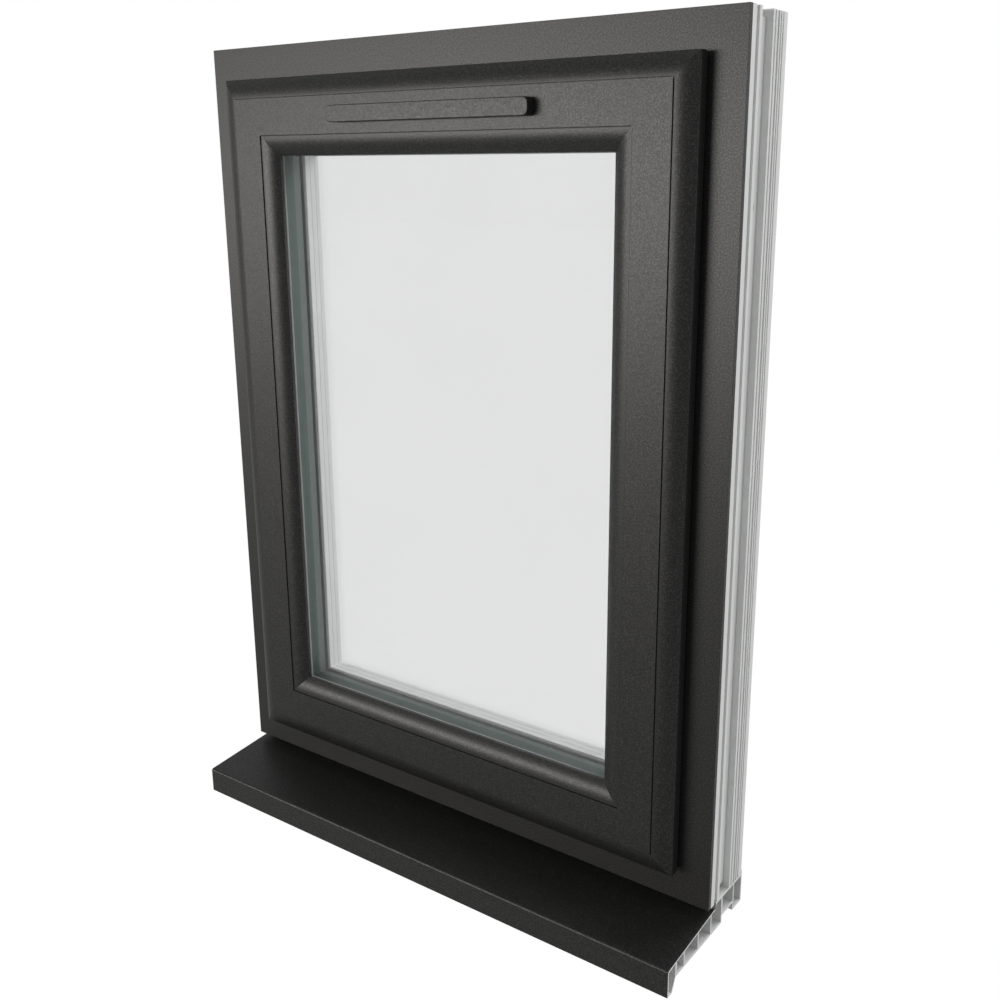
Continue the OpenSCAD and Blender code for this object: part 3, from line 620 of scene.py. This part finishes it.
def rounded_section(corners: np.ndarray, radii: np.ndarray, steps: int = 6) -> np.ndarray:
    """Round the corners of a polygon.

    Each corner becomes points of the curve (1-t)^2 a + 2 t (1-t) c + t^2 b, where c is the corner
    and a, b lie one radius from it on its two edges.

    Args:
        corners: Corner points, one row each.
        radii: Rounding of each corner.
        steps: Number of spans on each rounding.

    Returns:
        Points of the rounded outline.
    """
    back = np.roll(corners, 1, axis=0) - corners
    ahead = np.roll(corners, -1, axis=0) - corners
    start = corners + back / np.linalg.norm(back, axis=1, keepdims=True) * radii[:, None]
    end = corners + ahead / np.linalg.norm(ahead, axis=1, keepdims=True) * radii[:, None]
    t = np.linspace(0.0, 1.0, steps + 1)[None, :, None]
    curve = (1 - t) ** 2 * start[:, None] + 2 * t * (1 - t) * corners[:, None] + t ** 2 * end[:, None]
    return curve.reshape(-1, 2)


def shade_loop(mesh: bpy.types.Mesh, count: int) -> None:
    """Shade a carried section smooth round its outline and sharp at the mitres.

    Args:
        mesh: Mesh made by carrying a section round the loop.
        count: Number of section points; an edge whose two ends share a corner lies on a mitre.
    """
    mesh.polygons.foreach_set("use_smooth", np.ones(len(mesh.polygons), dtype=bool))
    ends = np.empty(2 * len(mesh.edges), dtype=np.int32)
    mesh.edges.foreach_get("vertices", ends)
    corner = ends.reshape(-1, 2) // count
    mesh.edges.foreach_set("use_edge_sharp", corner[:, 0] == corner[:, 1])
    mesh.update()


@dataclass(frozen=True)
class SoftEdges:
    """Rounded edges on a moulded piece, cut on a merged copy of its solid."""

    radius: float
    segments: int = 3
    limit: float = math.radians(38.0)
    merge: float = 0.002 * MM
    flat: float = math.radians(0.5)
    face_weight: int = 100

    def copy(self, node: str, name: str, material: bpy.types.Material, body: str,
             slot: str) -> bpy.types.Object:
        """Merge a copy of a solid and round its edges.

        Triangles that lie in one plane are joined, and every edge that turns by more than the limit
        is replaced by an arc of the radius.

        Args:
            node: Name of the solid, which the copy replaces.
            name: Name of the piece.
            material: Its finish.
            body: CAD body that carries it.
            slot: Not used.

        Returns:
            The piece.
        """
        mesh = bpy.data.meshes.new(name)
        work = bmesh.new()
        work.from_mesh(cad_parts[node].data)
        bmesh.ops.remove_doubles(work, verts=work.verts, dist=self.merge)
        bmesh.ops.dissolve_limit(work, angle_limit=self.flat, verts=work.verts, edges=work.edges)
        work.to_mesh(mesh)
        work.free()
        mesh.materials.clear()
        mesh.materials.append(material)
        mesh.polygons.foreach_set("use_smooth", np.ones(len(mesh.polygons), dtype=bool))
        piece = bpy.data.objects.new(name, mesh)
        bpy.context.scene.collection.objects.link(piece)
        round_off = piece.modifiers.new("rounded_edges", "BEVEL")
        round_off.width = self.radius
        round_off.segments = self.segments
        round_off.limit_method = "ANGLE"
        round_off.angle_limit = self.limit
        flat = piece.modifiers.new("flat_faces", "WEIGHTED_NORMAL")
        flat.weight = self.face_weight
        flat.keep_sharp = True
        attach(piece, body)
        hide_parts(node)
        LOG.info("rounded %s into %s", node, name)
        return piece


@dataclass
class Seals:
    """Extruded seals and gaskets with their rounded lips, carried round frame and sash."""

    finishes: Finishes
    loop: MitredLoop = field(default_factory=MitredLoop.of_frame)
    sight: float = 106.3 * MM
    gasket_w: float = 8.0 * MM
    outer_gasket: Span = (-10.5 * MM, -7.5 * MM)
    inner_gasket: Span = (20.5 * MM, 23.5 * MM)
    gasket_steps: tuple[float, float, float] = (0.5 * MM, 0.15 * MM, 0.9 * MM)
    gasket_lip: Span = (0.35, 0.8)
    gasket_radii: tuple[float, ...] = (0.3, 0.3, 0.45, 0.3, 0.35, 0.3)
    lip_seal: tuple[float, float, float, float] = (33.1 * MM, 34.7 * MM, -3.5 * MM, -1.0 * MM)
    stop_seal: tuple[float, float, float, float] = (46.9 * MM, 51.3 * MM, 46.4 * MM, 50.0 * MM)
    bulb_swell: float = 0.3
    bulb_radii: tuple[float, ...] = (0.15, 0.15, 0.15, 0.3, 0.3, 0.5, 0.3, 0.3, 0.15)
    root: Span = (0.8 * MM, 2.0 * MM)

    def gasket(self, depths: Span, face: int) -> np.ndarray:
        """Section of a glazing gasket, with a lip that leans on the glass and a bulged outer edge.

        Args:
            depths: Front and back depth.
            face: 1 where the glass lies behind, -1 where it lies in front.

        Returns:
            Rounded section points.
        """
        inner, outer = self.sight - self.gasket_w, self.sight
        seat, glass = depths if face > 0 else depths[::-1]
        toe, hollow, heel = self.gasket_steps
        lip = self.gasket_lip[0] * (glass - seat)
        shape = np.array([
            (inner, seat), (outer - toe, seat), (outer, seat + lip),
            (outer - hollow, glass - self.gasket_lip[1] * lip), (outer - heel, glass), (inner, glass),
        ])
        radii = np.array(self.gasket_radii) * MM
        return rounded_section(shape[::face], radii[::face])

    def bulb(self, box: tuple[float, float, float, float], root_depth: float) -> np.ndarray:
        """Section of a bulb seal with the root that holds it in its groove.

        Args:
            box: Inward start and end, then depth of the near and the far side.
            root_depth: Depth of the root's end.

        Returns:
            Rounded section points.
        """
        o0, o1, y0, y1 = box
        middle, half = (o0 + o1) / 2, self.root[0] / 2
        seat, tip = (y0, y1) if abs(root_depth - y0) < abs(root_depth - y1) else (y1, y0)
        fat = self.bulb_swell * (tip - seat)
        shape = np.array([
            (middle - half, root_depth), (middle + half, root_depth), (middle + half, seat), (o1, seat + fat),
            (o1, tip - fat), (middle, tip), (o0, tip - fat), (o0, seat + fat), (middle - half, seat),
        ])
        turn = 1 if tip > seat else -1
        radii = np.array(self.bulb_radii) * MM
        return rounded_section(shape[::turn], radii[::turn])

    def build(self) -> None:
        """Build the four loops in place of the plain ones."""
        outer = self.gasket(self.outer_gasket, 1)
        inner = self.gasket(self.inner_gasket, -1)
        lip = self.bulb(self.lip_seal, self.lip_seal[2] - self.root[1])
        stop = self.bulb(self.stop_seal, self.stop_seal[3] + self.root[1])
        loops = (
            ("outer_gasket_lip", outer, "outer_glazing_gasket", self.finishes.gasket, "sash"),
            ("inner_gasket_lip", inner, "inner_glazing_gasket", self.finishes.gasket, "sash"),
            ("sash_lip_bulb", lip, "sash_seal", self.finishes.seal, "sash"),
            ("frame_stop_bulb", stop, "frame_seal", self.finishes.seal, "frame"),
        )
        for name, section, node, finish, body in loops:
            points, faces = self.loop.carry(section)
            piece = new_piece(name, points, faces, finish, body)
            shade_loop(piece.data, len(section))
            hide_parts(node)


@dataclass
class OuterFrame:
    """Fixed frame, sill and the hardware screwed to them."""

    finishes: Finishes
    lengths: tuple[str, ...] = ("frame_head", "frame_bottom_rail", "frame_hinge_jamb", "frame_lock_jamb")
    hardware: tuple[str, ...] = (
        "sill_screws", "stay_plates", "stay_plate_screws", "plate_pivots", "lock_keeps", "keep_screws",
    )

    def dress(self) -> None:
        """Dress the frame lengths, the sill and the hardware."""
        dress(self.lengths, self.finishes.frame_film)
        dress(("sill",), self.finishes.sill_film)
        dress(("frame_seal",), self.finishes.seal)
        dress(self.hardware, self.finishes.zinc)


@dataclass
class Sash:
    """Opening sash with its glass, beads and stay hardware."""

    finishes: Finishes
    lengths: tuple[str, ...] = (
        "sash_top_rail", "sash_bottom_rail", "sash_hinge_stile", "sash_lock_stile",
    )
    beads: tuple[str, ...] = ("bead_top", "bead_bottom", "bead_hinge_side", "bead_lock_side")
    hardware: tuple[str, ...] = (
        "stay_arms", "sash_brackets", "bracket_screws", "bracket_pivots", "guide_pins",
    )

    def dress(self) -> None:
        """Dress the sash lengths, the glass unit and the hardware."""
        dress(self.lengths, self.finishes.sash_film)
        dress(self.beads, self.finishes.bead)
        dress(PANES, self.finishes.glass)
        dress(("spacer_bar",), self.finishes.spacer)
        dress(("sash_seal", "edge_seal"), self.finishes.seal)
        dress(("outer_glazing_gasket", "inner_glazing_gasket"), self.finishes.gasket)
        dress(("setting_blocks",), self.finishes.block)
        dress(self.hardware, self.finishes.zinc)
        for name in PANES:
            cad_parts[name].visible_shadow = False


@dataclass
class Lock:
    """Espagnolette lock with its lever handle."""

    finishes: Finishes
    metal: tuple[str, ...] = (
        "lock_faceplate", "faceplate_screws", "lock_gearbox", "drive_bar", "lock_cams", "handle_screws",
        "handle_spindle", "lock_pinion",
    )

    def dress(self) -> None:
        """Dress the lock, the handle and its button."""
        dress(self.metal, self.finishes.zinc)
        dress(("handle_base", "handle_lever"), self.finishes.white)
        dress(("handle_button",), self.finishes.button)


@dataclass
class TrickleVent:
    """Outside canopy and inside controller of the trickle vent."""

    finishes: Finishes
    canopy_edge: SoftEdges = SoftEdges(0.75 * MM)

    def dress(self) -> None:
        """Dress the vent's pieces and round the canopy's edges."""
        dress(("vent_canopy", "canopy_base"), self.finishes.canopy_film)
        dress(("canopy_screws", "controller_screws"), self.finishes.zinc)
        dress(("vent_controller", "vent_shutter"), self.finishes.white)
        self.canopy_edge.copy("vent_canopy", "canopy_shell", self.finishes.canopy_film, "sash", "foiled_sash")


@dataclass(frozen=True)
class Panel:
    """Soft light panel that only lights and glints, and is not itself seen."""

    name: str
    spot: Point
    aim: Point
    size: Span
    radiance: float
    colour: Colour = WHITE

    def hang(self) -> bpy.types.Object:
        """Hang the panel; its power is radiance times pi times its area.

        Returns:
            The light.
        """
        data = bpy.data.lights.new(self.name, "AREA")
        data.shape = "RECTANGLE"
        data.size, data.size_y = self.size
        data.energy = self.radiance * math.pi * self.size[0] * self.size[1]
        data.color = self.colour
        light = bpy.data.objects.new(self.name, data)
        light.location = self.spot
        light.rotation_mode = "QUATERNION"
        light.rotation_quaternion = (Vector(self.aim) - Vector(self.spot)).to_track_quat("-Z", "Y")
        light.visible_camera = False
        light.visible_transmission = False
        bpy.context.scene.collection.objects.link(light)
        return light


@dataclass
class Studio:
    """Camera, soft light and pale floor."""

    eye: Point = (0.688414, -0.829188, 0.689305)
    turn: float = 35.094
    dip: float = 15.093
    focal_px: float = 1126.34
    middle_px: Span = (534.276, 476.186)
    image_px: float = 1000.0
    sensor: float = 36.0
    near: float = 10.0 * MM
    floor_z: float = -13.1 * MM
    floor_half: float = 12.0
    floor_colour: Colour = (0.02, 0.02, 0.02)
    floor_glow: float = 1.0
    surround: float = 0.4
    lean: Point = (0.0, 0.18, 0.0)
    key: Panel = Panel(
        "left_panel", (-3.0, -5.2, 0.7), (0.0, 0.0, 0.7), (4.2, 1.2), 11.9, (1.0, 0.978, 0.934),
    )
    fills: tuple[Panel, ...] = (
        Panel("room_panel", (1.1, 2.4, 2.5), (0.3, 0.0, 0.4), (1.8, 1.4), 6.0),
        Panel("right_panel", (3.0, 1.05, 0.9), (0.3, 0.0, 0.4), (1.4, 1.4), 3.6),
    )

    def camera(self) -> None:
        """Place the camera at the photograph's viewpoint."""
        data = bpy.data.cameras.new("studio_camera")
        data.sensor_width = self.sensor
        data.lens = self.focal_px / self.image_px * self.sensor
        data.shift_x = 0.5 - self.middle_px[0] / self.image_px
        data.shift_y = self.middle_px[1] / self.image_px - 0.5
        data.clip_start = self.near
        camera = bpy.data.objects.new("studio_camera", data)
        turn, dip = math.radians(self.turn), math.radians(self.dip)
        ahead = Vector((-math.sin(turn) * math.cos(dip), math.cos(turn) * math.cos(dip), -math.sin(dip)))
        camera.location = self.eye
        camera.rotation_mode = "QUATERNION"
        camera.rotation_quaternion = ahead.to_track_quat("-Z", "Y")
        bpy.context.scene.collection.objects.link(camera)
        bpy.context.scene.camera = camera

    def spare_glass(self, light: bpy.types.Object) -> None:
        """Keep one light off the panes, so that they show no hot spot.

        Args:
            light: The light.
        """
        panes = bpy.data.collections.new("panes_without_" + light.name)
        for name in PANES:
            panes.objects.link(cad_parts[name])
        light.light_linking.receiver_collection = panes
        for entry in panes.collection_objects:
            entry.light_linking.link_state = "EXCLUDE"

    def lights(self) -> None:
        """Light the scene from the front left, the right and the room."""
        self.spare_glass(self.key.hang())
        for panel in self.fills:
            panel.hang()

    def sky(self) -> None:
        """Surround the scene with pale light.

        It lights with radiance surround + lean . direction, and is plain white where it is seen
        straight or through glass.
        """
        world = bpy.data.worlds.new("pale_surround")
        world.use_nodes = True
        nodes, links = world.node_tree.nodes, world.node_tree.links
        nodes.clear()
        out = nodes.new("ShaderNodeOutputWorld")
        seen, lit = nodes.new("ShaderNodeBackground"), nodes.new("ShaderNodeBackground")
        for background in (seen, lit):
            background.inputs["Color"].default_value = (*WHITE, 1.0)
        fade = nodes.new("ShaderNodeVectorMath")
        fade.operation = "DOT_PRODUCT"
        fade.inputs[1].default_value = self.lean
        links.new(nodes.new("ShaderNodeTexCoord").outputs["Generated"], fade.inputs[0])
        base = nodes.new("ShaderNodeMath")
        base.inputs[1].default_value = self.surround
        links.new(fade.outputs["Value"], base.inputs[0])
        links.new(base.outputs[0], lit.inputs["Strength"])
        path = nodes.new("ShaderNodeLightPath")
        either = nodes.new("ShaderNodeMath")
        either.operation = "MAXIMUM"
        links.new(path.outputs["Is Camera Ray"], either.inputs[0])
        links.new(path.outputs["Is Transmission Ray"], either.inputs[1])
        blend = nodes.new("ShaderNodeMixShader")
        for number, socket in enumerate((either.outputs[0], lit.outputs[0], seen.outputs[0])):
            links.new(socket, blend.inputs[number])
        links.new(blend.outputs[0], out.inputs["Surface"])
        bpy.context.scene.world = world
        bpy.context.scene.view_settings.view_transform = "Standard"

    def floor(self) -> None:
        """Lay the pale floor under the sill's nose."""
        sheet = NodeSheet("pale_floor")
        sheet.set(Base_Color=self.floor_colour, Roughness=0.9, Specular_IOR_Level=0.0)
        sheet.set(Emission_Color=WHITE, Emission_Strength=self.floor_glow)
        half = self.floor_half
        grid = np.array([(-half, -half), (half, -half), (half, half), (-half, half)])
        points = np.column_stack([grid, np.full(4, self.floor_z)])
        mesh = bpy.data.meshes.new("pale_floor")
        mesh.from_pydata(points.tolist(), [], [(0, 1, 2, 3)])
        mesh.materials.append(sheet.material)
        floor = bpy.data.objects.new("pale_floor", mesh)
        bpy.context.scene.collection.objects.link(floor)
        floor.visible_glossy = False
        floor.visible_diffuse = False
        floor.visible_shadow = False


def main() -> None:
    """Build and dress the window."""
    logging.basicConfig(level=logging.INFO, format="%(name)s: %(message)s")
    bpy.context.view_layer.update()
    studio = Studio()
    studio.camera()
    studio.lights()
    studio.sky()
    studio.floor()
    finishes = Finishes()
    for part in (OuterFrame(finishes), Sash(finishes), Lock(finishes), TrickleVent(finishes)):
        part.dress()
    Seals(finishes).build()


if __name__ == "__main__":
    main()
